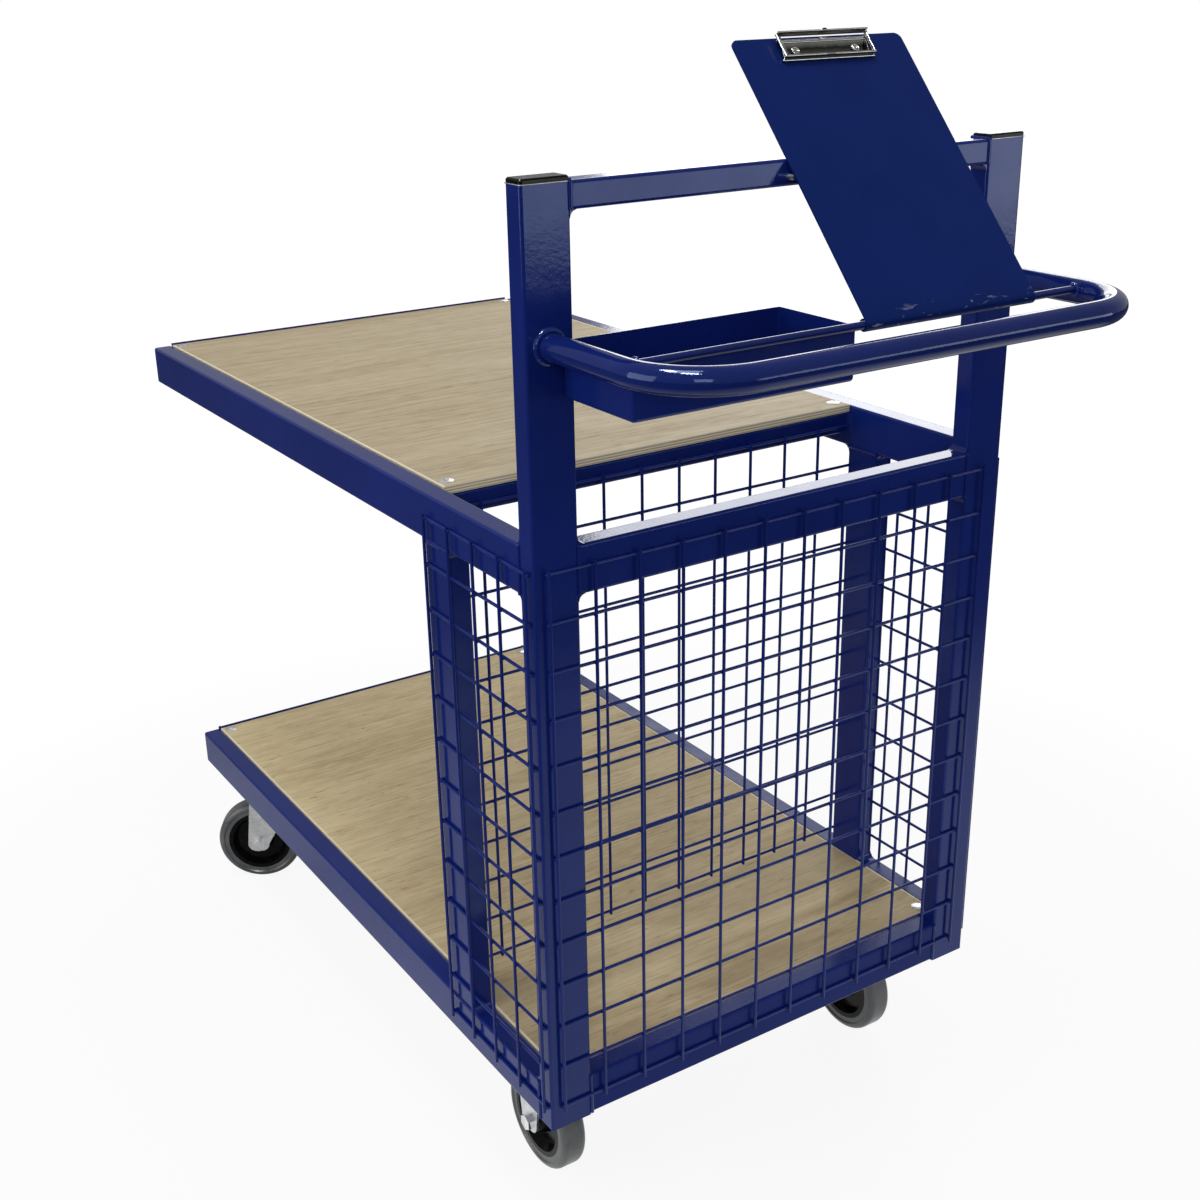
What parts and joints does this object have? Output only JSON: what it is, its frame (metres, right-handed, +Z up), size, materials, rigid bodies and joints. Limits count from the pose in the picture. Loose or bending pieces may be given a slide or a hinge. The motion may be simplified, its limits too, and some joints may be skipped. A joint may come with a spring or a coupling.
{
  "type": "order picking trolley",
  "caption": "Order picking trolley with plywood decks, a weldmesh bin, a tube push handle, a parts tray, a hinged clipboard, and fixed and swivel castors.",
  "frame": {"origin": "on the floor, under the middle of the overall box", "axes": "+X to the trolley's right, +Y forward away from the push handle, +Z up"},
  "size_m": [0.6472, 1.2588, 1.2474],
  "materials": {
    "blue_paint": "glossy deep blue powder coat with weld beads at the joints",
    "plywood": "lightly sealed tan plywood, grain across the deck",
    "zinc": "bright zinc plate",
    "chrome": "polished nickel chrome",
    "grey_rubber": "matt non-marking grey rubber",
    "black_plastic": "moulded black plastic"
  },
  "bodies": {
    "frame": {"lower_left_rail": "blue_paint", "lower_right_rail": "blue_paint", "lower_rear_bar": "blue_paint", "lower_front_bar": "blue_paint", "lower_ledge_bar": "blue_paint", "castor_bearers": "blue_paint", "rear_left_post": "blue_paint", "rear_right_post": "blue_paint", "middle_left_post": "blue_paint", "middle_right_post": "blue_paint", "upper_left_rail": "blue_paint", "upper_right_rail": "blue_paint", "upper_front_bar": "blue_paint", "upper_cross_bar": "blue_paint", "upper_bearer": "blue_paint", "rear_rail": "blue_paint", "top_rail": "blue_paint", "rear_mesh": "blue_paint", "left_mesh": "blue_paint", "right_mesh": "blue_paint", "inner_mesh": "blue_paint", "handle_tube": "blue_paint", "rest_rod": "blue_paint", "tray": "blue_paint", "lower_deck_board": "plywood", "upper_deck_board": "plywood", "deck_screws": "zinc", "stop_studs": "zinc", "castor_bolts": "zinc", "castor_nuts": "zinc", "king_pins": "zinc", "race_balls": "zinc", "rear_axles": "zinc", "rear_bushes": "zinc", "rear_left_fork": "zinc", "rear_right_fork": "zinc", "front_left_castor_plate": "zinc", "front_right_castor_plate": "zinc", "post_caps": "black_plastic"},
    "front_left_swivel": {"front_left_fork": "zinc", "front_left_axle": "zinc", "front_left_bush": "zinc"},
    "front_left_wheel": {"front_left_hub": "black_plastic", "front_left_tyre": "grey_rubber"},
    "rear_left_wheel": {"rear_left_hub": "black_plastic", "rear_left_tyre": "grey_rubber"},
    "front_right_swivel": {"front_right_fork": "zinc", "front_right_axle": "zinc", "front_right_bush": "zinc"},
    "front_right_wheel": {"front_right_hub": "black_plastic", "front_right_tyre": "grey_rubber"},
    "rear_right_wheel": {"rear_right_hub": "black_plastic", "rear_right_tyre": "grey_rubber"},
    "clipboard": {"clipboard_plate": "blue_paint", "clip_base": "chrome", "clip_rivets": "chrome", "clip_pin": "chrome", "clip_spring": "chrome"},
    "clip_lever": {"clip_jaw": "chrome"}
  },
  "joints": [
    {"name": "front_left_swivel_turn", "type": "hinge", "parent": "frame", "child": "front_left_swivel", "pos_m": [-0.232, 0.48635, 0.16], "axis": [0, 0, 1], "continuous": true},
    {"name": "front_left_wheel_roll", "type": "hinge", "parent": "front_left_swivel", "child": "front_left_wheel", "pos_m": [-0.26457, 0.50592, 0.0625], "axis": [0.515, 0.8572, 0], "continuous": true},
    {"name": "rear_left_wheel_roll", "type": "hinge", "parent": "frame", "child": "rear_left_wheel", "pos_m": [-0.232, -0.29265, 0.0625], "axis": [1, 0, 0], "continuous": true},
    {"name": "front_right_swivel_turn", "type": "hinge", "parent": "frame", "child": "front_right_swivel", "pos_m": [0.232, 0.48635, 0.16], "axis": [0, 0, 1], "continuous": true},
    {"name": "front_right_wheel_roll", "type": "hinge", "parent": "front_right_swivel", "child": "front_right_wheel", "pos_m": [0.26457, 0.50592, 0.0625], "axis": [0.515, -0.8572, 0], "continuous": true},
    {"name": "rear_right_wheel_roll", "type": "hinge", "parent": "frame", "child": "rear_right_wheel", "pos_m": [0.232, -0.29265, 0.0625], "axis": [1, 0, 0], "continuous": true},
    {"name": "clipboard_tilt", "type": "hinge", "parent": "frame", "child": "clipboard", "pos_m": [0.0941, -0.53465, 1.002], "axis": [1, 0, 0], "range_deg": [0, 116]},
    {"name": "clip_lever_open", "type": "hinge", "parent": "clipboard", "child": "clip_lever", "pos_m": [0.0941, -0.3402, 1.23655], "axis": [-1, 0, 0], "range_deg": [0, 35], "stiffness_Nm_per_rad": 0.6, "springref_deg": -20.05}
  ]
}
